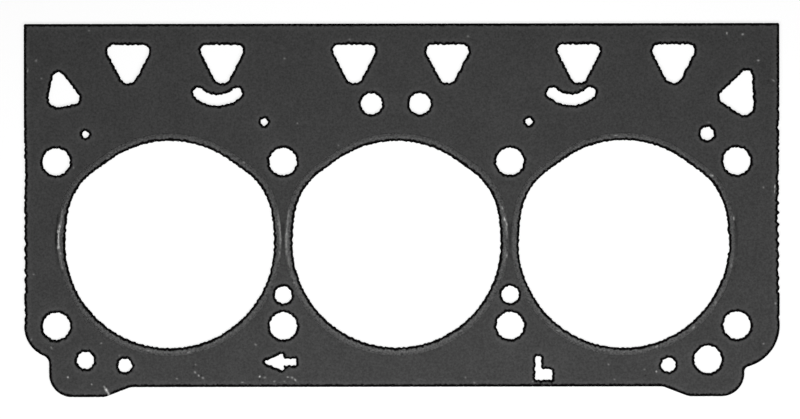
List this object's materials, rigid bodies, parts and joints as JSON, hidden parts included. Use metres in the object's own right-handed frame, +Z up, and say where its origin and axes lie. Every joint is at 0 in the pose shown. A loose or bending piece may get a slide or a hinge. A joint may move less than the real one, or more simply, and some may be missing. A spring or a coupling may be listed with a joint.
{
  "type": "cylinder head gasket",
  "caption": "Flat cylinder head gasket for one bank of a vee engine: steel-ringed combustion openings in a row, with bolt holes and coolant and oil passages.",
  "frame": {"origin": "the middle cylinder's axis, which is the centre of both rectangles of head-bolt holes, on the plane that the folded rings rest on", "axes": "+X along the bank from the front, which the arrow window points to, to the rear; +Y towards the valley side; +Z up, out of the face that is seen"},
  "size_m": [0.3588, 0.1772, 0.0019],
  "materials": {
    "facing": "matte near-black coated composite facing with a fine mottle; cut edges darker",
    "ring_steel": "thin folded steel under the same dark coat, rubbed brighter along the flange's lip"
  },
  "bodies": {
    "root": {"gasket_sheet": "facing", "front_fire_ring": "ring_steel", "middle_fire_ring": "ring_steel", "rear_fire_ring": "ring_steel"}
  },
  "joints": []
}
